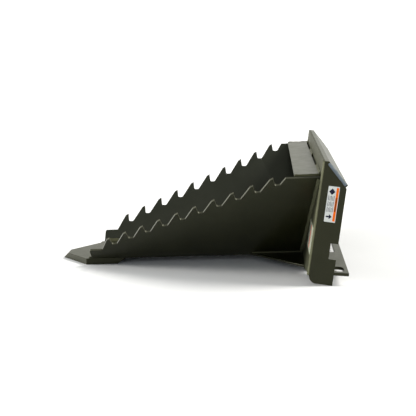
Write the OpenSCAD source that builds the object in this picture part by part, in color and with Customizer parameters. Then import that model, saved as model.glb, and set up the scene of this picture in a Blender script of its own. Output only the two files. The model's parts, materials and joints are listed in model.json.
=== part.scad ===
// Serrated stump bucket for a skid steer loader, a rigid welded steel attachment.
// +X points from the quick-attach mount to the digging nose, +Y to the left, +Z up.
// z = 0 is the ground: the nose lies flat on it and the end plates touch it at their heels.

/* [Bucket trough] */
// Width of the floor over the two outer bottom corners
floor_width = 304; // [260:1:340]
// Height of the underside of the floor above the ground, also the thickness of the nose
nose_thickness = 28; // [20:1:35]
// Distance from the mount to the front edge of the floor
floor_length = 938; // [934:1:945]
// Thickness of the floor and of the wing gussets
floor_thickness = 8; // [6:0.5:12]
// Thickness of the two side plates
side_thickness = 8; // [6:0.5:10]
// Outward lean of the side plates, measured from the vertical
flare = 45; // [42:0.5:48]

/* [Serrated edge] */
// Number of teeth on each side plate
tooth_count = 10; // [10:1:10]
// Tooth spacing along the length of the bucket
tooth_pitch = 78.5; // [78:0.1:79]
// Height lost from one tooth to the next
tooth_drop = 31.3; // [31:0.1:31.6]
// Distance from the mount to the rearmost gullet
first_gullet_x = 106.6; // [104:0.1:110]
// Height of the bottom of the rearmost gullet above the ground
first_gullet_z = 390.5; // [386:0.5:395]
// Height of a tooth above its own gullet, measured in the plate
tooth_height = 44.4; // [40:0.1:48]
// Corner radius at the bottom of a gullet
gullet_radius = 8; // [6:0.5:9]
// Lean of the steep rear face of a tooth
hook_lean = 7; // [4:0.5:9]
// Slope of the long front face of a tooth, measured in the plate
tooth_slope = 63.2; // [62:0.1:65]
// Distance from the mount to the front edge of the side plates
side_front = 926; // [922:1:930]
// Height of the low step at the front of the side plates
step_height = 76; // [72:0.5:80]
// Distance from the mount to the rear end of that step
step_start = 868; // [864:1:872]

/* [Nose] */
// Distance from the mount to the tip of the nose
nose_tip = 1091; // [1085:1:1100]
// Width of the nose
nose_width = 300; // [280:1:306]
// Length of the point, from the shoulders to the tip
point_length = 138; // [125:1:145]
// Set-back of the two long bevels at the top of the nose
side_bevel = 12; // [6:1:16]
// Set-back of the short bevel at the very tip
tip_bevel = 29; // [20:1:36]
// Length of the flat underside behind the shoulders
nose_heel = 139; // [120:1:150]
// Length of the sloping heel of the nose
heel_slope = 40; // [30:1:50]

/* [Quick-attach mount] */
// Width of the mount over the end plates
mount_width = 1144; // [1130:1:1160]
// Height of the end plates, measured along the leaning mount
mount_height = 480; // [470:1:490]
// Backward lean of the mount when the bucket stands on the ground
mount_lean = 9.1; // [8:0.1:10]
// Thickness of the face plate
face_thickness = 8; // [6:0.5:10]
// Height of the lower edge of the face plate above the foot of the mount
face_bottom = 8; // [6:0.5:10]
// Height lost at each trimmed lower corner of the face plate
face_corner_rise = 30; // [24:1:34]
// Length of each trimmed lower corner of the face plate
face_corner_run = 187; // [170:1:200]
// Front to back depth of the end plates
end_depth = 102.5; // [98:0.5:106]
// Thickness of the end plates
end_thickness = 10; // [8:0.5:12]
// Radius of the front bottom corner of the end plates
end_corner_radius = 31; // [26:1:34]
// Height of the lower side of the notch in the end plates
notch_bottom = 104; // [100:1:110]
// Height of the notch in the end plates
notch_height = 63; // [55:1:70]
// Depth of the notch in the end plates
notch_depth = 29; // [24:1:32]
// Thickness of the sloping hook flange
hook_thickness = 12; // [10:0.5:13]
// Front to back reach of the hook flange
hook_reach = 107; // [102:1:112]

/* [Lock pin lip] */
// Front to back reach of the lip
lip_reach = 160; // [150:1:170]
// Height of the rear edge of the lip above the foot of the mount
lip_height = 58; // [54:1:62]
// Thickness of the lip
lip_thickness = 12; // [10:0.5:13]
// Upward slope of the lip towards the rear
lip_slope = 4; // [2:0.5:6]
// Centre to centre spacing of the two lock pin slots
pin_slot_spacing = 749; // [740:1:760]
// Length of a lock pin slot
pin_slot_length = 57; // [50:1:62]
// Width of a lock pin slot
pin_slot_width = 34; // [28:1:36]
// Length of the open window in the middle of the lip
window_length = 480; // [400:1:500]
// Length of the small slot near each end of the lip
end_hole_length = 70; // [60:1:75]

/* [Brace, wings and labels] */
// Height of the top of the brace above the ground
brace_height = 435.5; // [433:0.5:438]
// Thickness of the brace
brace_thickness = 10; // [8:0.5:10]
// Distance the brace reaches in front of the mount origin
brace_front = 34; // [28:1:38]
// Distance the wing gussets reach forward of the mount
wing_length = 226; // [200:1:240]
// Half width of the bucket over the outer corners of the wings
wing_reach = 386; // [360:1:400]
// Height of the label on the left end plate
end_label_height = 139; // [120:1:150]
// Width of the label on the left end plate
end_label_width = 43; // [36:1:46]
// Width of the label on the face plate
face_label_width = 182; // [150:1:184]
// Height of the label on the face plate
face_label_height = 107; // [90:1:115]

/* [Hidden] */
$fn = 64;
// Sizes of cutting solids, and of stock that a cut trims back.
big = 2000;
spare = 150;
label_thickness = 0.5;
floor_bottom = nose_thickness;
floor_top = floor_bottom + floor_thickness;
stretch = 1 / cos(flare);
side_thickness_y = side_thickness * stretch;
floor_half = floor_width / 2 + floor_thickness * tan(flare) - side_thickness_y;
mount_half = mount_width / 2;
end_inner = mount_half - end_thickness;
hook_inner_z = mount_height - 1;
// Feet of a gullet's two sloping sides, and the fall of a tooth's blunt top.
hook_foot = 3;
slope_foot = -17.5;
crest_fall = 9.5;
step_radius = 10;
arc_steps = 8;
// Weld beads: legs of the fillets, radii of the round beads, bare length left at an end.
weld_leg = 10;
small_leg = 7;
wing_leg = 7;
face_bead = 12;
corner_crown = 1.5;
corner_foot = 28;
weld_gap = 20;
groove_run = 10;
// Slots in the rear edge of the brace: centre and length of each, and their depth.
brace_slots = [[-341, 275], [138, 327]];
slot_depth = 8;
hook_bevel = 6;
brace_half = half_width_inside(brace_height - brace_thickness);
pin_slot_x = -64;
window_rear_x = -130;
window_front_x = -58;
end_hole_x = -122.5;
end_hole_width = 45;
end_hole_y = 515;
end_label_x = -77;
end_label_z = 249;
face_label_y = 377;
face_label_z = 108;

// Half width of the trough at a given height, over the outer and inner side plate faces.
function half_width_outside(z) = floor_width / 2 + (z - floor_bottom) * tan(flare);
function half_width_inside(z) = half_width_outside(z) - side_thickness_y;

// Point at height z on the front of the face plate and on the outer side plate face.
function face_x(z) = (end_depth * sin(mount_lean) - z) * tan(mount_lean);
function face_point(z) = [face_x(z), half_width_outside(z), z];

// Distance up the sloping side plate for a given height above the ground.
function up_plate(z) = (z - floor_bottom) * stretch;

// Bottom of a gullet in the plate: x along the bucket, y up the plate.
function gullet(i) = [first_gullet_x + i * tooth_pitch, up_plate(first_gullet_z - i * tooth_drop)];
function tooth_tip(i) = gullet(i) + [tooth_height * tan(hook_lean) + hook_foot, tooth_height];

// Point at plate height y on the slope that rises to the rear from a gullet.
function slope_point(i, y) = [gullet(i)[0] + slope_foot - (y - gullet(i)[1]) / tan(tooth_slope), y];
function tooth_crest(i) = slope_point(i + 1, tooth_tip(i)[1] - crest_fall);

// Points on an arc, its end angles included.
function arc(centre, r, from, to) = [
    for (k = [0 : arc_steps])
        let (a = from + (to - from) * k / arc_steps)
            centre + r * [cos(a), sin(a)]
];

// Edge of the plate from a tooth's tip down its hook face and round the gullet.
function gullet_edge(i) =
    let (r = gullet_radius,
        hook_x = hook_foot + r * tan(hook_lean) - r / cos(hook_lean),
        slope_x = slope_foot + r * tan(tooth_slope / 2))
    concat([tooth_tip(i)], arc(gullet(i) + [hook_x, r], r, -hook_lean, -90),
        arc(gullet(i) + [slope_x, r], r, -90, -90 - tooth_slope));

module steel_black() {
    color([0.16, 0.16, 0.13]) children();
}

module weld_black() {
    color([0.21, 0.21, 0.17]) children();
}

module label_white() {
    color([0.90, 0.90, 0.88]) children();
}

module mirrored_y() {
    mirror([0, 1, 0]) children();
}

// Frame of the leaning mount: x = 0 is its front face, z = 0 its foot.
module mount_frame() {
    translate([0, 0, end_depth * sin(mount_lean)])
        rotate([0, -mount_lean, 0])
            children();
}

// Extrudes an outline drawn as x, z of the mount from y = from to y = to.
module mount_extrude(from, to) {
    mount_frame()
        translate([0, to, 0])
            rotate([90, 0, 0])
                linear_extrude(to - from)
                    children();
}

// Everything behind the front surface of the face plate.
module behind_mount() {
    mount_frame()
        translate([-big, -big / 2, -big / 2])
            cube([big, big, big]);
}

// Outline of a side plate, front step and teeth included.
module side_outline() {
    top = tooth_tip(0)[1];
    step = up_plate(step_height);
    corner = [side_front - step_radius, step - step_radius];
    teeth = [for (i = [tooth_count - 1 : -1 : 0], p = concat([tooth_crest(i)], gullet_edge(i))) p];
    polygon(concat(
        [[-spare, -side_thickness], [side_front, -side_thickness]],
        arc(corner, step_radius, 0, 90),
        [[step_start, step]],
        teeth,
        [slope_point(0, top), [-spare, top]]));
}

module side_plate() {
    steel_black()
        difference() {
            translate([0, floor_width / 2, floor_bottom])
                rotate([90 - flare, 0, 0])
                    linear_extrude(side_thickness)
                        side_outline();
            translate([-big / 2, 0, floor_bottom - big]) cube([big * 2, big, big]);
            translate([-big / 2, 0, 0]) cube([big * 2, floor_half, floor_top]);
            behind_mount();
        }
}

module side_plate_left() {
    side_plate();
}

module side_plate_right() {
    mirrored_y() side_plate();
}

module floor_plate() {
    steel_black()
        difference() {
            translate([-spare, -floor_half, floor_bottom])
                cube([spare + floor_length, 2 * floor_half, floor_thickness]);
            behind_mount();
        }
}

// Pointed cutting edge: a thick plate with two long bevels, a tip bevel and a sloping heel.
module nose_cutting_edge() {
    half = nose_width / 2;
    shoulder = nose_tip - point_length;
    heel = shoulder - nose_heel;
    steel_black()
        difference() {
            linear_extrude(nose_thickness)
                polygon([[heel - heel_slope, -half], [shoulder, -half], [nose_tip, 0],
                    [shoulder, half], [heel - heel_slope, half]]);
            for (side = [-1, 1]) nose_side_bevel(side);
            nose_tip_bevel();
            nose_heel_cut(heel);
        }
}

module nose_side_bevel(side) {
    turn = atan2(nose_width / 2, point_length);
    tilt = atan2(side_bevel * sin(turn), nose_thickness);
    translate([nose_tip, 0, 0])
        rotate([0, 0, -side * turn])
            rotate([-side * tilt, 0, 0])
                translate([-big / 2, side > 0 ? 0 : -spare, -1])
                    cube([big, spare, spare]);
}

module nose_tip_bevel() {
    translate([nose_tip, -spare / 2, 0])
        rotate([0, -atan2(tip_bevel, nose_thickness), 0])
            cube(spare);
}

module nose_heel_cut(heel) {
    translate([heel, -big / 2, 0])
        rotate([0, atan2(nose_thickness, heel_slope), 0])
            translate([-spare, 0, -spare])
                cube([spare, big, spare]);
}

// Horizontal plate that ties the two side plates together in front of the face plate.
module top_brace() {
    top_half = brace_half - groove_run;
    bottom_z = brace_height - brace_thickness;
    section = [[-brace_half, bottom_z], [brace_half, bottom_z], [top_half, brace_height],
        [-top_half, brace_height]];
    steel_black()
        difference() {
            translate([brace_front, 0, 0])
                rotate([90, 0, -90])
                    linear_extrude(brace_front + spare)
                        polygon(section);
            behind_mount();
            for (slot = brace_slots) brace_slot(slot[0], slot[1]);
        }
}

// Shallow slot in the rear edge of the brace, centred at y with the given length.
module brace_slot(y, length) {
    reach = length / 2 - slot_depth;
    low = brace_height - spare / 2;
    mount_frame() {
        translate([0, y - reach, low]) cube([slot_depth, 2 * reach, spare]);
        for (end = [-1, 1])
            translate([0, y + end * reach, low]) cylinder(r = slot_depth, h = spare);
    }
}

// Flat triangular gusset between a side plate, in line with the floor, and the face plate.
module wing_gusset() {
    inner = half_width_outside(floor_bottom);
    steel_black()
        difference() {
            translate([0, 0, floor_bottom])
                linear_extrude(floor_thickness)
                    polygon([[-spare, inner], [wing_length, inner], [0, wing_reach],
                        [-spare, wing_reach]]);
            inside_side_plate();
            behind_mount();
        }
}

// The left side plate and everything on its inner side.
module inside_side_plate() {
    translate([-big / 2, floor_width / 2, floor_bottom])
        rotate([90 - flare, 0, 0])
            translate([0, -spare, 0])
                cube([2 * big, big, spare]);
}

module wing_gusset_left() {
    wing_gusset();
}

module wing_gusset_right() {
    mirrored_y() wing_gusset();
}

module mount_face_plate() {
    corner_y = end_inner - face_corner_run;
    corner_z = face_bottom + face_corner_rise;
    steel_black()
        mount_frame()
            rotate([90, 0, -90])
                linear_extrude(face_thickness)
                    polygon([[-corner_y, face_bottom], [corner_y, face_bottom],
                        [end_inner, corner_z], [end_inner, mount_height],
                        [-end_inner, mount_height], [-end_inner, corner_z]]);
}

// The flange starts flush with the top of the face plate and slopes down at 45 degrees.
module hook_flange() {
    face_x = -face_thickness;
    skin = hook_thickness * sqrt(2);
    inner_line = hook_inner_z - face_x;
    outer_line = inner_line + skin;
    half_skin = skin / 2;
    steel_black()
        difference() {
            mount_extrude(-mount_half, mount_half)
                polygon([[face_x, inner_line + face_x], [face_x, mount_height],
                    [mount_height - outer_line, mount_height],
                    [-hook_reach, outer_line - hook_reach],
                    [-hook_reach + half_skin, outer_line - hook_reach - half_skin]]);
            hook_end_bevel();
            mirrored_y() hook_end_bevel();
        }
}

// Frame of the left end of the hook flange: x up its slope, z outwards from its underside.
module hook_end_frame() {
    mount_frame()
        translate([0, mount_half, hook_inner_z + face_thickness])
            rotate([0, -45, 0])
                children();
}

// Bevels the end of the hook flange for its weld.
module hook_end_bevel() {
    hook_end_frame()
        rotate([atan2(hook_bevel, hook_thickness), 0, 0])
            translate([-big / 2, 0, -big / 2])
                cube([big, spare, big]);
}

// Outline of an end plate in the mount frame, closed under the hook flange.
module end_outline() {
    face_x = -face_thickness;
    inner_line = hook_inner_z - face_x;
    r = end_corner_radius;
    notch_x = notch_depth - end_depth;
    notch_top = notch_bottom + notch_height;
    polygon([[face_x, r], [face_x, inner_line + face_x], [-end_depth, inner_line - end_depth],
        [-end_depth, notch_top], [notch_x, notch_top], [notch_x, notch_bottom],
        [-end_depth, notch_bottom], [-end_depth, 0], [face_x - r, 0], [face_x - r, r]]);
    intersection() {
        translate([face_x - r, r]) circle(r = r);
        translate([face_x - r, 0]) square(r);
    }
}

module end_plate() {
    steel_black()
        mount_extrude(end_inner, mount_half)
            end_outline();
}

module end_plate_left() {
    end_plate();
}

module end_plate_right() {
    mirrored_y() end_plate();
}

// Frame of the lip: x = 0 is the rear of the face plate, z = 0 its own top surface.
module lip_frame() {
    rise = (lip_reach - face_thickness) * tan(lip_slope);
    mount_frame()
        translate([-face_thickness, 0, lip_height - rise])
            rotate([0, lip_slope, 0])
                children();
}

module lock_pin_lip() {
    length = (lip_reach - face_thickness) / cos(lip_slope);
    steel_black()
        difference() {
            lip_blank(length);
            lip_window();
            for (side = [-1, 1]) {
                lip_slot(pin_slot_x, side * pin_slot_spacing / 2, pin_slot_width, pin_slot_length);
                lip_slot(end_hole_x, side * end_hole_y, end_hole_width, end_hole_length);
            }
        }
}

// The lip fits between the end plates and widens to the full mount width behind them.
module lip_blank(length) {
    difference() {
        lip_frame()
            translate([-length, -mount_half, -lip_thickness])
                cube([length + spare, mount_width, lip_thickness]);
        mount_frame()
            translate([-face_thickness, -big / 2, 0])
                cube([big, big, mount_height]);
        for (side = [0, 1])
            mirror([0, side, 0])
                mount_extrude(end_inner, mount_half + spare)
                    translate([-end_depth, 0])
                        square([end_depth, mount_height / 2]);
    }
}

module lip_window() {
    lip_frame()
        translate([window_rear_x + face_thickness, -window_length / 2, -spare / 2])
            cube([window_front_x - window_rear_x, window_length, spare]);
}

// Slot with round ends, centred at x, y of the mount.
module lip_slot(x, y, width, length) {
    reach = (length - width) / 2;
    lip_frame()
        translate([x + face_thickness, y, -spare / 2]) {
            translate([-width / 2, -reach, 0]) cube([width, 2 * reach, spare]);
            for (end = [-1, 1])
                translate([0, end * reach, 0]) cylinder(d = width, h = spare);
        }
}

// Nearly flat bead across the open corner between the face plate and an end plate.
module corner_weld() {
    face_x = -face_thickness;
    across = [end_thickness, face_thickness] / norm([end_thickness, face_thickness]);
    crown = [face_x, end_inner + mount_half] / 2 + corner_crown * across;
    weld_black()
        mount_frame()
            translate([0, 0, corner_foot])
                linear_extrude(mount_height - corner_foot)
                    polygon([[face_x, end_inner], [0, end_inner], crown, [face_x, mount_half]]);
}

module corner_weld_left() {
    corner_weld();
}

module corner_weld_right() {
    mirrored_y() corner_weld();
}

// Fillet along the inner corner between the floor and a side plate.
module trough_weld() {
    toe = weld_leg / cos(flare);
    weld_black()
        difference() {
            translate([floor_length - weld_gap, 0, 0])
                rotate([90, 0, -90])
                    linear_extrude(floor_length + spare)
                        polygon([[-floor_half, floor_top],
                            [-half_width_inside(floor_top + weld_leg), floor_top + weld_leg],
                            [toe - floor_half, floor_top]]);
            behind_mount();
        }
}

module trough_weld_left() {
    trough_weld();
}

module trough_weld_right() {
    mirrored_y() trough_weld();
}

// Round bead where the outer face of a side plate runs down the face plate.
module side_mount_weld() {
    start = face_point(floor_top + wing_leg + 1);
    finish = face_point(floor_bottom + (tooth_tip(0)[1] - face_bead / 2) / stretch);
    run = finish - start;
    weld_black()
        difference() {
            translate(start)
                rotate([0, acos(run[2] / norm(run)), atan2(run[1], run[0])])
                    cylinder(r = face_bead, h = norm(run));
            inside_side_plate();
            behind_mount();
        }
}

module side_mount_weld_left() {
    side_mount_weld();
}

module side_mount_weld_right() {
    mirrored_y() side_mount_weld();
}

// Wide bead that fills the sharp corner between a wing and the side plate above it.
module wing_weld() {
    inner = half_width_outside(floor_top);
    top = floor_top + wing_leg;
    weld_black()
        difference() {
            translate([wing_length - face_bead, 0, 0])
                rotate([90, 0, -90])
                    linear_extrude(wing_length + spare)
                        polygon([[-inner, floor_top], [-half_width_outside(top), top],
                            [-inner - 1.2 * wing_leg, floor_top]]);
            wing_trim();
            behind_mount();
        }
}

// Keeps the wing bead on top of the wing near the pointed front end.
module wing_trim() {
    inner = half_width_outside(floor_bottom);
    translate([wing_length, inner, 0])
        rotate([0, 0, 180 - atan2(wing_reach - inner, wing_length)])
            translate([-big / 2, -big, 0])
                cube([big, big, big]);
}

module wing_weld_left() {
    wing_weld();
}

module wing_weld_right() {
    mirrored_y() wing_weld();
}

// Groove weld between the bevelled end of the brace and the top of a side plate.
module brace_side_weld() {
    low = brace_height - brace_thickness;
    plate_top = floor_bottom + tooth_tip(0)[1] / stretch;
    inner_z = plate_top + side_thickness * sin(flare);
    inner_y = half_width_inside(inner_z);
    crown = [groove_run / 2 - inner_y, brace_height - 1];
    weld_black()
        difference() {
            translate([brace_front, 0, 0])
                rotate([90, 0, -90])
                    linear_extrude(brace_front + spare)
                        polygon([[-brace_half, low], [groove_run - brace_half, brace_height],
                            crown, [-inner_y, inner_z]]);
            behind_mount();
        }
}

module brace_side_weld_left() {
    brace_side_weld();
}

module brace_side_weld_right() {
    mirrored_y() brace_side_weld();
}

// Fillet between the top of the brace and the face plate, left out at the two slots.
module brace_mount_weld() {
    foot_x = face_x(brace_height);
    half = brace_half - weld_gap;
    weld_black()
        difference() {
            translate([0, half, 0])
                rotate([90, 0, 0])
                    linear_extrude(2 * half)
                        polygon([[foot_x - small_leg, brace_height + small_leg],
                            [foot_x - small_leg, brace_height],
                            [foot_x + small_leg, brace_height]]);
            for (slot = brace_slots)
                translate([-spare, slot[0] - slot[1] / 2, 0])
                    cube([2 * spare, slot[1], big]);
            behind_mount();
        }
}

// Fillet in the inner corner under the hook flange.
module hook_weld() {
    face_x = -face_thickness;
    weld_black()
        mount_extrude(-end_inner, end_inner)
            polygon([[face_x, hook_inner_z], [face_x - weld_leg, hook_inner_z - weld_leg],
                [face_x, hook_inner_z - 2 * weld_leg]]);
}

// Flat bead over the bevelled end of the hook flange.
module hook_end_weld() {
    rear = hook_thickness - hook_reach * sqrt(2);
    front = -2 * hook_thickness;
    weld_black()
        hook_end_frame()
            translate([rear + small_leg / 2, 0, 0])
                rotate([90, 0, 90])
                    linear_extrude(front - rear - small_leg / 2)
                        polygon([[0, 0], [-1, 0.75 * hook_thickness],
                            [-hook_bevel, hook_thickness]]);
}

module hook_end_weld_left() {
    hook_end_weld();
}

module hook_end_weld_right() {
    mirrored_y() hook_end_weld();
}

// Fillet under the lip where it meets the rear of the face plate.
module lip_weld() {
    face_x = -face_thickness;
    under = lip_height - (lip_reach - face_thickness) * tan(lip_slope)
        - lip_thickness / cos(lip_slope);
    half = end_inner - face_corner_run;
    weld_black()
        mount_extrude(-half, half)
            polygon([[face_x, under], [face_x - weld_leg, under + weld_leg * tan(lip_slope)],
                [face_x, under - weld_leg]]);
}

// Fillet between the front edge of the floor and the top of the nose.
module nose_weld() {
    half = nose_width / 2 - small_leg;
    weld_black()
        translate([floor_length, half, floor_bottom])
            rotate([90, 0, 0])
                linear_extrude(2 * half)
                    polygon([[0, 0], [small_leg, 0], [0, small_leg]]);
}

module end_plate_label() {
    label_white()
        mount_extrude(mount_half, mount_half + label_thickness)
            translate([end_label_x, end_label_z])
                square([end_label_width, end_label_height]);
}

module face_plate_label() {
    label_white()
        mount_frame()
            translate([0, face_label_y, face_label_z])
                cube([label_thickness, face_label_width, face_label_height]);
}

mount_face_plate();
hook_flange();
lock_pin_lip();
end_plate_left();
end_plate_right();
floor_plate();
side_plate_left();
side_plate_right();
nose_cutting_edge();
top_brace();
wing_gusset_left();
wing_gusset_right();
corner_weld_left();
corner_weld_right();
trough_weld_left();
trough_weld_right();
side_mount_weld_left();
side_mount_weld_right();
wing_weld_left();
wing_weld_right();
brace_side_weld_left();
brace_side_weld_right();
brace_mount_weld();
hook_weld();
hook_end_weld_left();
hook_end_weld_right();
lip_weld();
nose_weld();
end_plate_label();
face_plate_label();
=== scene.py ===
"""Looks of a serrated skid steer stump bucket: satin black paint, hand-laid weld beads and labels."""

import json
import math

import bmesh
import bpy
import numpy as np
from mathutils import Matrix, Vector


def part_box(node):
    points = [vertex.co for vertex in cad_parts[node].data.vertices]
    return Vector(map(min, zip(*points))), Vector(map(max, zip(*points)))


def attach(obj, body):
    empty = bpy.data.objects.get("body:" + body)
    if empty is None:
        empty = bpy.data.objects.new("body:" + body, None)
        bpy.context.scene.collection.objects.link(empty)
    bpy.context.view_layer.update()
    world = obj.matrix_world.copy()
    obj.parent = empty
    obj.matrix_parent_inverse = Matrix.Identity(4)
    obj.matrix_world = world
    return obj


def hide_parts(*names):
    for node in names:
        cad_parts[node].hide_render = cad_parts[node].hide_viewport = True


# Camera, in metres and degrees. It looks along -Y from the bucket's left.
CAMERA_PLACE = Vector((0.1191, 3.7792, 0.9463))
CAMERA_YAW = 4.376
CAMERA_PITCH = 11.032
CAMERA_ROLL = 2.560
IMAGE_PIXELS = 416
FOCAL_PIXELS = 852.0
CENTRE_PIXELS = (208.84, 208.80)
SENSOR_MM = 36.0

# Sky radiance round the studio.
BACKDROP_LIGHT = (1.25, 1.25, 1.13)
FRONT_LIGHT = (0.50, 0.55, 0.60)
OVERHEAD_LIGHT = (0.50, 0.52, 0.50)
SUNLIGHT_COLOUR = (1.0, 0.98, 0.91)

# Studio floor: half its side in metres.
FLOOR_HALF = 30

# Paint: roughness range, specular level, orange peel, gloss tint and colours.
SATIN = (0.31, 0.37)
SPECULAR = 0.25
PLATE_PEEL = 0.06
WELD_PEEL = 0.08
OLIVE_GLOSS = (1.0, 1.0, 0.78, 1.0)
# Paler paint for the cut edges of the side plates: a painted highlight.
CUT_EDGE_HIGHLIGHT = (0.050, 0.050, 0.036)
PLATE_DARK = (0.0105, 0.0115, 0.0040)
PLATE_LIGHT = (0.0145, 0.0155, 0.0065)

# Steel: edge rounding in metres.
EDGE_RADIUS = 0.0009
NOSE_EDGE_RADIUS = 0.0014

# Outward lean of the side plates.
FLARE = math.radians(45)

# Weld beads, in metres. SINK is the share of a bead's legs that is sunk into the plates.
RIPPLE_PITCH = 0.0046
RIPPLE_DEPTH = 0.0007
RINGS_PER_RIPPLE = 6
SECTION_POINTS = 11
RUN_OUT = 0.006
SINK = 0.04
WELD_GAP = 0.020
LEG = 0.010
SMALL_LEG = 0.007
WING_LEG = 0.007
SIDE_LEG = 0.012
GROOVE_RUN = 0.010


# ---------------------------------------------------------------- node helpers

def new_material(name):
    material = bpy.data.materials.new(name)
    material.use_nodes = True
    return material, material.node_tree, material.node_tree.nodes["Principled BSDF"]


def add_node(tree, kind, **inputs):
    """A node of this kind; keyword names are sockets, with _ for a space."""
    node = tree.nodes.new(kind)
    for key, value in inputs.items():
        node.inputs[key.replace("_", " ")].default_value = value
    return node


def object_coordinates(tree):
    return tree.nodes.new("ShaderNodeTexCoord").outputs["Object"]


def noise(tree, scale, detail=4.0, roughness=0.55):
    node = add_node(tree, "ShaderNodeTexNoise", Scale=scale, Detail=detail, Roughness=roughness)
    tree.links.new(object_coordinates(tree), node.inputs["Vector"])
    return node.outputs["Fac"]


def remap(tree, value, low, high, to_low, to_high):
    node = tree.nodes.new("ShaderNodeMapRange")
    tree.links.new(value, node.inputs["Value"])
    node.inputs["From Min"].default_value = low
    node.inputs["From Max"].default_value = high
    node.inputs["To Min"].default_value = to_low
    node.inputs["To Max"].default_value = to_high
    return node.outputs["Result"]


def mix_colours(tree, factor, first, second):
    """Blends two colours, or sockets, by a factor socket."""
    node = tree.nodes.new("ShaderNodeMix")
    node.data_type = "RGBA"
    tree.links.new(factor, node.inputs["Factor"])
    for socket, colour in (("A", first), ("B", second)):
        target = [s for s in node.inputs if s.name == socket and s.type == "RGBA"][0]
        if isinstance(colour, bpy.types.NodeSocket):
            tree.links.new(colour, target)
        else:
            target.default_value = (*colour, 1.0)
    return [s for s in node.outputs if s.type == "RGBA"][0]


def bump(tree, height, distance, strength, normal=None):
    node = add_node(tree, "ShaderNodeBump", Strength=strength, Distance=distance)
    tree.links.new(height, node.inputs["Height"])
    if normal is not None:
        tree.links.new(normal, node.inputs["Normal"])
    return node.outputs["Normal"]


# ---------------------------------------------------------------- materials

def cut_edges(tree, plate_normal):
    """1 on the narrow cut edges of a plate with this normal and 0 on its two broad faces."""
    product = tree.nodes.new("ShaderNodeVectorMath")
    product.operation = "DOT_PRODUCT"
    tree.links.new(tree.nodes.new("ShaderNodeTexCoord").outputs["Normal"], product.inputs[0])
    product.inputs[1].default_value = plate_normal
    size = tree.nodes.new("ShaderNodeMath")
    size.operation = "ABSOLUTE"
    tree.links.new(product.outputs["Value"], size.inputs[0])
    return remap(tree, size.outputs["Value"], 0.3, 0.8, 1.0, 0.0)


def paint(name, dark, light, rough=SATIN, peel=PLATE_PEEL, specular=SPECULAR, plate_normal=None):
    """Satin enamel on hot-rolled plate: mottled colour, uneven gloss, orange peel over mill waves.

    With a plate normal, the plate's cut edges are painted paler: a painted highlight of the light
    they catch.
    """
    material, tree, shader = new_material(name)
    links = tree.links
    mottling = remap(tree, noise(tree, 6.0, 5.0), 0.35, 0.68, 0.0, 1.0)
    colour = mix_colours(tree, mottling, dark, light)
    if plate_normal:
        # The cut edges are painted paler: a painted highlight.
        colour = mix_colours(tree, cut_edges(tree, plate_normal), colour, CUT_EDGE_HIGHLIGHT)
    links.new(colour, shader.inputs["Base Color"])
    gloss = remap(tree, noise(tree, 26.0, 6.0, 0.6), 0.3, 0.7, *rough)
    links.new(gloss, shader.inputs["Roughness"])
    shader.inputs["Specular IOR Level"].default_value = specular
    shader.inputs["Specular Tint"].default_value = OLIVE_GLOSS
    waves = bump(tree, noise(tree, 5.0, 1.0), 0.0015, 0.03)
    grain = bump(tree, noise(tree, 520.0, 3.0, 0.6), 0.0003, peel, waves)
    links.new(grain, shader.inputs["Normal"])
    return material


def vinyl(name, colour, shade):
    """Printed vinyl: nearly even ink with a faint mottle and fine surface texture."""
    material, tree, shader = new_material(name)
    links = tree.links
    mottling = remap(tree, noise(tree, 90.0, 4.0), 0.3, 0.7, 0.0, 1.0)
    links.new(mix_colours(tree, mottling, shade, colour), shader.inputs["Base Color"])
    gloss = remap(tree, noise(tree, 60.0, 3.0), 0.3, 0.7, 0.32, 0.45)
    links.new(gloss, shader.inputs["Roughness"])
    shader.inputs["Specular IOR Level"].default_value = 0.15
    links.new(bump(tree, noise(tree, 900.0, 2.0), 0.0002, 0.15), shader.inputs["Normal"])
    return material


def floor_finish():
    material, tree, shader = new_material("studio_floor")
    tone = remap(tree, noise(tree, 3.0, 3.0), 0.3, 0.7, 0.0, 1.0)
    colour = mix_colours(tree, tone, (0.80, 0.80, 0.83), (0.83, 0.83, 0.86))
    tree.links.new(colour, shader.inputs["Base Color"])
    shader.inputs["Roughness"].default_value = 0.75
    return material


# ---------------------------------------------------------------- CAD nodes

def soften(node, radius):
    """Rounds a CAD node's sharp edges with modifiers, so that they catch the light."""
    weld = node.modifiers.new("join", "WELD")
    weld.merge_threshold = 0.00001
    bevel = node.modifiers.new("edges", "BEVEL")
    bevel.width = radius
    bevel.segments = 2
    bevel.limit_method = "ANGLE"
    bevel.angle_limit = math.radians(30)


def dress(node, material):
    node.data.materials.clear()
    node.data.materials.append(material)


# ---------------------------------------------------------------- frame measurements

def corners(node):
    return [v.co for v in frame["nodes"][node].data.vertices]


def mount_matrix():
    """Frame of the leaning mount: x = 0 is its front face and z = 0 its foot."""
    axis = [m["axis"] for m in frame["record"]["mounts"] if m["name"] == "mount_face"][0]
    lean = math.atan2(-axis[2], -axis[0])
    upright = Matrix.Rotation(lean, 4, "Y")
    depth = -min((upright @ p).x for p in corners("end_plate_left")) / math.cos(lean) ** 2
    return Matrix.Translation((0, 0, depth * math.sin(lean))) @ upright.inverted()


def in_mount(node):
    """Lowest and highest corner of a CAD node in the mount's own frame."""
    points = [mount.inverted() @ p for p in corners(node)]
    low = Vector([min(p[i] for p in points) for i in range(3)])
    high = Vector([max(p[i] for p in points) for i in range(3)])
    return low, high


def on_mount_face(y, z):
    """Point of the mount's front face at y and at height z above the ground."""
    slope = mount.col[2]
    foot = mount.translation
    return Vector(((z - foot.z) * slope.x / slope.z, y, z))


def mirrored(vector):
    return Vector((vector.x, -vector.y, vector.z))


# ---------------------------------------------------------------- weld beads

def scallop(phase):
    """Rounded ripple: low at each seam between two ripples, high in between."""
    return 1 - (2 * (phase % 1.0) - 1) ** 2


def bead_rings(length):
    count = max(12, int(length / RIPPLE_PITCH * RINGS_PER_RIPPLE))
    return np.linspace(0, length, count)


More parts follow.
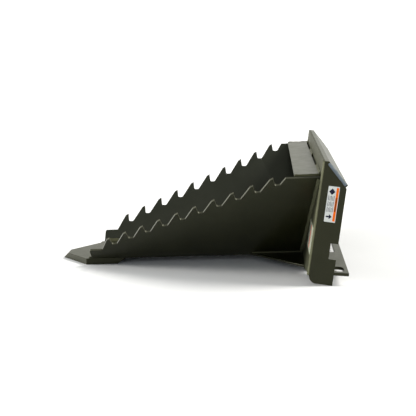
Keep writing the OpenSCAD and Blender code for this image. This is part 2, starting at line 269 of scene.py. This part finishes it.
def bead_mesh(bm, start, end, leg_a, leg_b, crown, phase):
    """Adds one rippled bead along a corner, from toe to toe, with rounded run-outs."""
    along = end - start
    length = along.length
    along = along.normalized()
    outward = (leg_a.normalized() + leg_b.normalized()).normalized()
    across = np.linspace(0, 1, SECTION_POINTS)
    arch = 4 * across * (1 - across)
    taper = min(RUN_OUT, length / 4)
    rings = []
    for s in bead_rings(length):
        reach = min(1.0, min(s, length - s) / taper)
        swell = math.sqrt(max(0.0, reach * (2 - reach))) * 0.65 + 0.35
        wander = 1 + 0.05 * math.sin(s / 0.013 + phase) + 0.04 * math.sin(s / 0.0047 + 2 * phase)
        ring = [bm.verts.new(start + along * s - (leg_a + leg_b) * SINK)]
        for t, lift in zip(across, arch):
            turn = s / RIPPLE_PITCH - 0.55 * lift + phase
            height = crown * lift + RIPPLE_DEPTH * scallop(turn) * (0.35 + 0.65 * lift)
            side = (leg_a * (1 - t) + leg_b * t) * swell * wander
            ring.append(bm.verts.new(start + along * s + side + outward * height * swell))
        rings.append(ring)
    size = len(rings[0])
    for first, second in zip(rings, rings[1:]):
        for k in range(size):
            n = (k + 1) % size
            bm.faces.new((first[k], first[n], second[n], second[k]))
    bm.faces.new(list(reversed(rings[0])))
    bm.faces.new(rings[-1])


def weld(node, runs, leg_a, leg_b, crown=0.001, finish=None):
    """A piece of one or more bead runs that stands for the CAD node of plain fillets."""
    bm = bmesh.new()
    for index, (start, end) in enumerate(runs):
        bead_mesh(bm, start, end, leg_a, leg_b, crown, 0.7 * index + len(node) % 5)
    bmesh.ops.recalc_face_normals(bm, faces=bm.faces)
    mesh = bpy.data.meshes.new(node + "_bead")
    bm.to_mesh(mesh)
    bm.free()
    mesh.shade_smooth()
    mesh.materials.append(finish or weld_paint)
    piece = bpy.data.objects.new(node + "_bead", mesh)
    bpy.context.scene.collection.objects.link(piece)
    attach(piece, "root")
    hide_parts(node)
    return piece


def weld_both_sides(name, start, end, leg_a, leg_b, crown=0.001, finish=None):
    weld(name + "_left", [(start, end)], leg_a, leg_b, crown, finish)
    weld(name + "_right", [(mirrored(start), mirrored(end))], mirrored(leg_a), mirrored(leg_b), crown,
         finish)


def left_plate_normal():
    """Normal of the left side plate's outer face."""
    return Vector((0, math.cos(FLARE), -math.sin(FLARE)))


def plate_slope():
    """Direction up the left side plate, square to the bucket's length."""
    return Vector((0, math.sin(FLARE), math.cos(FLARE)))


def outer_y(z):
    """Half width over the outer faces of the side plates at height z."""
    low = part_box("wing_gusset_left")[0]
    return low.y + (z - low.z) * math.tan(FLARE)


def trough_beads():
    floor_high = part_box("floor_plate")[1]
    rear = on_mount_face(floor_high.y, floor_high.z)
    front = Vector((floor_high.x - WELD_GAP, floor_high.y, floor_high.z))
    weld_both_sides("trough_weld", rear, front, plate_slope() * LEG / math.cos(FLARE),
                    Vector((0, -LEG / math.cos(FLARE), 0)))


def side_mount_beads():
    floor_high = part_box("floor_plate")[1]
    low_z = floor_high.z + WING_LEG + 0.001
    high_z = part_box("side_mount_weld_left")[1].z
    start = on_mount_face(outer_y(low_z), low_z)
    end = on_mount_face(outer_y(high_z), high_z)
    along = (end - start).normalized()
    face_normal = mount.col[0].to_3d()
    on_plate = left_plate_normal().cross(along) * SIDE_LEG
    on_face = along.cross(face_normal) * SIDE_LEG
    if on_plate.x < 0:
        on_plate = -on_plate
    if on_face.y < 0:
        on_face = -on_face
    # These beads get the paler paint: a painted highlight.
    weld_both_sides("side_mount_weld", start, end, on_plate, on_face, 0.0015, bead_painted_highlight)


def wing_beads():
    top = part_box("wing_gusset_left")[1].z
    front_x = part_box("wing_weld_left")[1].x
    rear = on_mount_face(outer_y(top), top)
    front = Vector((front_x, outer_y(top), top))
    weld_both_sides("wing_weld", rear, front, plate_slope() * WING_LEG / math.cos(FLARE),
                    Vector((0, 1.2 * WING_LEG, 0)), 0.0)


def corner_beads():
    low, high = in_mount("corner_weld_left")
    start = mount @ low
    end = mount @ Vector((low.x, low.y, high.z))
    forward = mount.col[0].to_3d() * (high.x - low.x)
    # These beads get the paler paint: a painted highlight.
    weld_both_sides("corner_weld", start, end, forward, Vector((0, high.y - low.y, 0)), 0.0012,
                    bead_painted_highlight)


def brace_side_beads():
    low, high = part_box("brace_side_weld_left")
    brace_low, brace_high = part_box("top_brace")
    rear = on_mount_face(brace_high.y, low.z)
    front = Vector((brace_high.x, brace_high.y, low.z))
    to_brace = Vector((0, -GROOVE_RUN, brace_high.z - brace_low.z))
    to_plate = Vector((0, high.y - brace_high.y, high.z - low.z))
    weld_both_sides("brace_side_weld", rear, front, to_brace, to_plate, 0.0005)


def y_spans(node):
    """Ranges of y held by a node's separate solids, from its end faces."""
    ends = sorted({round(p.y, 4) for p in corners(node)})
    return list(zip(ends[0::2], ends[1::2]))


def brace_mount_beads():
    """Runs between the face plate and the brace, one for each solid of the CAD node."""
    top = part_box("top_brace")[1].z
    spans = y_spans("brace_mount_weld")
    runs = [(on_mount_face(low, top), on_mount_face(high, top)) for low, high in spans]
    up = mount.col[2].to_3d() * SMALL_LEG
    weld("brace_mount_weld", runs, Vector((SMALL_LEG, 0, 0)), up)


def hook_bead():
    low, high = in_mount("hook_weld")
    ends = [mount @ Vector((high.x, y, high.z)) for y in (low.y, high.y)]
    on_hook = mount.to_3x3() @ Vector((-LEG, 0, -LEG))
    on_face = mount.to_3x3() @ Vector((0, 0, -2 * LEG))
    weld("hook_weld", [ends], on_hook, on_face, 0.0)


def hook_end_beads():
    """Beads over the bevelled ends of the hook flange, which slopes at 45 degrees to the mount."""
    along = mount.to_3x3() @ Vector((1, 0, 1)).normalized()
    outward = mount.to_3x3() @ Vector((-1, 0, 1)).normalized()
    points = corners("hook_end_weld_left")
    run = [limit(p.dot(along) for p in points) for limit in (min, max)]
    skin = [limit(p.dot(outward) for p in points) for limit in (min, max)]
    width = [limit(p.y for p in points) for limit in (min, max)]
    start, end = (along * r + outward * skin[0] + Vector((0, width[0], 0)) for r in run)
    # The hook end beads get the paler bluish paint: a painted reflection of the sky.
    weld_both_sides("hook_end_weld", start, end, Vector((0, width[1] - width[0], 0)),
                    outward * (skin[1] - skin[0]), 0.001, bead_painted_sky_reflection)


def lip_bead():
    low, high = in_mount("lip_weld")
    root_z = low.z + LEG
    ends = [mount @ Vector((high.x, y, root_z)) for y in (low.y, high.y)]
    on_lip = mount.to_3x3() @ Vector((-LEG, 0, high.z - root_z))
    on_face = mount.to_3x3() @ Vector((0, 0, -LEG))
    weld("lip_weld", [ends], on_lip, on_face)


def nose_bead():
    low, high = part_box("nose_weld")
    ends = [Vector((low.x, y, low.z)) for y in (low.y, high.y)]
    weld("nose_weld", [ends], Vector((SMALL_LEG, 0, 0)), Vector((0, 0, SMALL_LEG)))


# ---------------------------------------------------------------- labels

class Sheet:
    """A sticker on the mount: u and v are its own width and height, from 0 to 1, w stands off it."""

    def __init__(self, node, origin, across, up, normal, thickness):
        self.node = node
        self.origin = origin
        self.across = across
        self.up = up
        self.normal = normal
        self.thickness = thickness
        self.bm = bmesh.new()
        self.materials = []

    def slot_of(self, material):
        if material not in self.materials:
            self.materials.append(material)
        return self.materials.index(material)

    def prism(self, outline, material, top, bottom=0.0):
        """A flat shape of the given outline, from bottom to top of the sheet's thickness."""
        place = [self.origin + self.across * u + self.up * v for u, v in outline]
        base = [self.bm.verts.new(p + self.normal * self.thickness * bottom) for p in place]
        face = [self.bm.verts.new(p + self.normal * self.thickness * top) for p in place]
        made = [self.bm.faces.new(face), self.bm.faces.new(list(reversed(base)))]
        for k in range(len(place)):
            n = (k + 1) % len(place)
            made.append(self.bm.faces.new((base[k], base[n], face[n], face[k])))
        for f in made:
            f.material_index = self.slot_of(material)

    def finish(self):
        bmesh.ops.recalc_face_normals(self.bm, faces=self.bm.faces)
        mesh = bpy.data.meshes.new(self.node + "_sticker")
        self.bm.to_mesh(mesh)
        self.bm.free()
        for material in self.materials:
            mesh.materials.append(material)
        piece = bpy.data.objects.new(self.node + "_sticker", mesh)
        bpy.context.scene.collection.objects.link(piece)
        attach(piece, "root")
        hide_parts(self.node)


def rectangle(u0, v0, u1, v1):
    return [(u0, v0), (u1, v0), (u1, v1), (u0, v1)]


def rounded(u0, v0, u1, v1, ru, rv, steps=5):
    """Rectangle with round corners, its radii given in u and v."""
    outline = []
    for cu, cv, start in ((u1 - ru, v0 + rv, -90), (u1 - ru, v1 - rv, 0),
                          (u0 + ru, v1 - rv, 90), (u0 + ru, v0 + rv, 180)):
        for k in range(steps + 1):
            a = math.radians(start + 90 * k / steps)
            outline.append((cu + ru * math.cos(a), cv + rv * math.sin(a)))
    return outline


def diamond(u, v, wide, high):
    return [(u - wide, v), (u, v - high), (u + wide, v), (u, v + high)]


def arrow(u, v, wide, high):
    """A plain arrow that points along -u."""
    return [(u + wide, v - high * 0.3), (u + wide, v + high * 0.3), (u, v + high * 0.3),
            (u, v + high), (u - wide, v), (u, v - high), (u, v - high * 0.3)]


def end_sticker():
    """White sticker on the left end plate: an orange stripe, two plain symbols and grey lines."""
    low, high = in_mount("end_plate_label")
    turn = mount.to_3x3()
    origin = mount @ Vector((low.x, low.y, low.z))
    across = turn @ Vector((high.x - low.x, 0, 0))
    up = turn @ Vector((0, 0, high.z - low.z))
    sheet = Sheet("end_plate_label", origin, across, up, Vector((0, 1, 0)), high.y - low.y)
    sheet.prism(rounded(0, 0, 1, 1, 0.06, 0.02), white_vinyl, 0.8)
    sheet.prism(rectangle(0.05, 0.03, 0.27, 0.97), orange_ink, 0.85, 0.7)
    sheet.prism(rectangle(0.09, 0.30, 0.23, 0.70), brown_ink, 0.9, 0.7)
    sheet.prism(diamond(0.62, 0.85, 0.28, 0.09), navy_ink, 0.9, 0.7)
    sheet.prism(arrow(0.62, 0.15, 0.27, 0.07), navy_ink, 0.9, 0.7)
    for column in range(5):
        u = 0.36 + column * 0.12
        for row in range(3):
            v = 0.28 + row * 0.16
            sheet.prism(rectangle(u, v, u + 0.05, v + 0.14 - 0.02 * (column % 2)), grey_ink, 0.9, 0.7)
    sheet.finish()


def face_sticker():
    """Pale sticker on the front of the face plate: a red stripe between two columns of grey rules."""
    low, high = in_mount("face_plate_label")
    turn = mount.to_3x3()
    origin = mount @ Vector((low.x, high.y, low.z))
    across = turn @ Vector((0, low.y - high.y, 0))
    up = turn @ Vector((0, 0, high.z - low.z))
    sheet = Sheet("face_plate_label", origin, across, up, mount.col[0].to_3d(), high.x - low.x)
    sheet.prism(rounded(0, 0, 1, 1, 0.05, 0.05), grey_face_vinyl, 0.8)
    sheet.prism(rectangle(0.44, 0.08, 0.60, 0.92), red_ink, 0.9, 0.7)
    for row in range(8):
        v = 0.12 + row * 0.10
        for u in (0.10, 0.66):
            sheet.prism(rectangle(u, v, u + 0.26, v + 0.03), grey_ink, 0.9, 0.7)
    sheet.finish()


# ---------------------------------------------------------------- studio

def camera():
    """The photographer's camera: standing at the bucket's left, turned a little and tilted down."""
    yaw, pitch, roll = (math.radians(a) for a in (CAMERA_YAW, CAMERA_PITCH, CAMERA_ROLL))
    forward = Vector((math.sin(yaw) * math.cos(pitch), -math.cos(yaw) * math.cos(pitch),
                      -math.sin(pitch)))
    level = Vector((-math.cos(yaw), -math.sin(yaw), 0))
    down = forward.cross(level)
    right = level * math.cos(roll) + down * math.sin(roll)
    up = level * math.sin(roll) - down * math.cos(roll)
    data = bpy.data.cameras.new("camera")
    data.sensor_width = SENSOR_MM
    data.lens = FOCAL_PIXELS / IMAGE_PIXELS * SENSOR_MM
    data.shift_x = (IMAGE_PIXELS / 2 - CENTRE_PIXELS[0]) / IMAGE_PIXELS
    data.shift_y = (CENTRE_PIXELS[1] - IMAGE_PIXELS / 2) / IMAGE_PIXELS
    data.clip_start = 0.05
    data.clip_end = 200
    made = bpy.data.objects.new("camera", data)
    bpy.context.scene.collection.objects.link(made)
    made.matrix_world = Matrix((right, up, -forward)).transposed().to_4x4()
    made.location = CAMERA_PLACE
    bpy.context.scene.camera = made


def side_light(name, bearing, height, energy, spread):
    """Broad light from one end of the bucket, at a bearing and a height in degrees."""
    data = bpy.data.lights.new(name, "SUN")
    data.energy = energy
    data.color = SUNLIGHT_COLOUR
    data.angle = math.radians(spread)
    made = bpy.data.objects.new(name, data)
    bpy.context.scene.collection.objects.link(made)
    made.rotation_euler = (0, math.radians(90 - height), math.radians(bearing))


def studio():
    """A sky that is brightest low behind the bucket, dimmer behind the camera and dim overhead."""
    world = bpy.data.worlds.new("studio")
    bpy.context.scene.world = world
    world.use_nodes = True
    tree = world.node_tree
    split = tree.nodes.new("ShaderNodeSeparateXYZ")
    tree.links.new(tree.nodes.new("ShaderNodeTexCoord").outputs["Generated"], split.inputs[0])
    behind_camera = remap(tree, split.outputs["Y"], -0.2, 0.3, 0.0, 1.0)
    around = mix_colours(tree, behind_camera, BACKDROP_LIGHT, FRONT_LIGHT)
    overhead = remap(tree, split.outputs["Z"], 0.30, 0.65, 0.0, 1.0)
    colour = mix_colours(tree, overhead, around, OVERHEAD_LIGHT)
    tree.links.new(colour, tree.nodes["Background"].inputs["Color"])
    side_light("nose_side", -8, 11, 4.3, 14)
    side_light("mount_side", 180, 42, 3.7, 25)


def floor():
    bm = bmesh.new()
    bmesh.ops.create_grid(bm, x_segments=1, y_segments=1, size=FLOOR_HALF)
    mesh = bpy.data.meshes.new("floor")
    bm.to_mesh(mesh)
    bm.free()
    mesh.materials.append(floor_finish())
    made = bpy.data.objects.new("floor", mesh)
    bpy.context.scene.collection.objects.link(made)


# ---------------------------------------------------------------- build

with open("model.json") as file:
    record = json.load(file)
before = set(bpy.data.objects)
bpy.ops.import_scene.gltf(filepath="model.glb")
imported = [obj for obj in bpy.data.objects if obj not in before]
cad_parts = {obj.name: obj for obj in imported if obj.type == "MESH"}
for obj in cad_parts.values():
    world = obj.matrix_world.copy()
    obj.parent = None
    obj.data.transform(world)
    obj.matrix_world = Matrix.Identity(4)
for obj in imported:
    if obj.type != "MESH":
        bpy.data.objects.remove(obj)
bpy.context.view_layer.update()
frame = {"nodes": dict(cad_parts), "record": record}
mount = mount_matrix()

plate_paint = paint("plate_paint", PLATE_DARK, PLATE_LIGHT)
own_paints = {
    "side_plate_left": paint("left_side_paint", PLATE_DARK, PLATE_LIGHT,
                             plate_normal=left_plate_normal()),
    # The right side plate's paint is paler and less olive than the left's: a painted reflection of
    # the sky overhead.
    "side_plate_right": paint("right_side_painted_sky_reflection", (0.0155, 0.0168, 0.0125), (0.0210, 0.0225, 0.0175),
                              plate_normal=mirrored(left_plate_normal())),
    # The face plate's paint is about three times paler than the other plates': a painted highlight of
    # the strong light from the nose end.
    "mount_face_plate": paint("face_plate_painted_highlight", (0.032, 0.033, 0.020), (0.043, 0.044, 0.027),
                              rough=(0.48, 0.56), specular=0.12),
}
weld_paint = paint("weld_paint", (0.034, 0.034, 0.016), (0.046, 0.046, 0.023),
                   rough=(0.40, 0.50), peel=WELD_PEEL)
# Paler olive paint for the corner and side beads: a painted highlight.
bead_painted_highlight = paint("bead_painted_highlight", (0.054, 0.056, 0.030), (0.070, 0.072, 0.040),
                  rough=(0.45, 0.55), peel=WELD_PEEL, specular=0.20)
# Paler, bluish paint for the hook end beads: a painted reflection of the sky.
bead_painted_sky_reflection = paint("bead_painted_sky_reflection", (0.085, 0.105, 0.130), (0.105, 0.130, 0.160),
                  rough=(0.35, 0.45), peel=WELD_PEEL, specular=0.35)
white_vinyl = vinyl("white_vinyl", (0.68, 0.69, 0.67), (0.60, 0.62, 0.60))
# The face sticker's vinyl is greyer and darker than the end sticker's white vinyl.
grey_face_vinyl = vinyl("grey_face_vinyl", (0.40, 0.42, 0.33), (0.33, 0.35, 0.28))
orange_ink = vinyl("orange_ink", (0.90, 0.15, 0.0), (0.80, 0.13, 0.0))
brown_ink = vinyl("brown_ink", (0.25, 0.05, 0.0), (0.20, 0.04, 0.0))
navy_ink = vinyl("navy_ink", (0.008, 0.008, 0.030), (0.006, 0.006, 0.022))
grey_ink = vinyl("grey_ink", (0.10, 0.10, 0.12), (0.08, 0.08, 0.10))
red_ink = vinyl("red_ink", (0.55, 0.10, 0.07), (0.48, 0.08, 0.05))

for node_name, node_object in frame["nodes"].items():
    if "weld" not in node_name and "label" not in node_name:
        dress(node_object, own_paints.get(node_name, plate_paint))
        soften(node_object, NOSE_EDGE_RADIUS if node_name == "nose_cutting_edge" else EDGE_RADIUS)

trough_beads()
side_mount_beads()
wing_beads()
corner_beads()
brace_side_beads()
brace_mount_beads()
hook_bead()
hook_end_beads()
lip_bead()
nose_bead()
end_sticker()
face_sticker()

camera()
studio()
floor()
bpy.context.scene.view_settings.view_transform = "Standard"
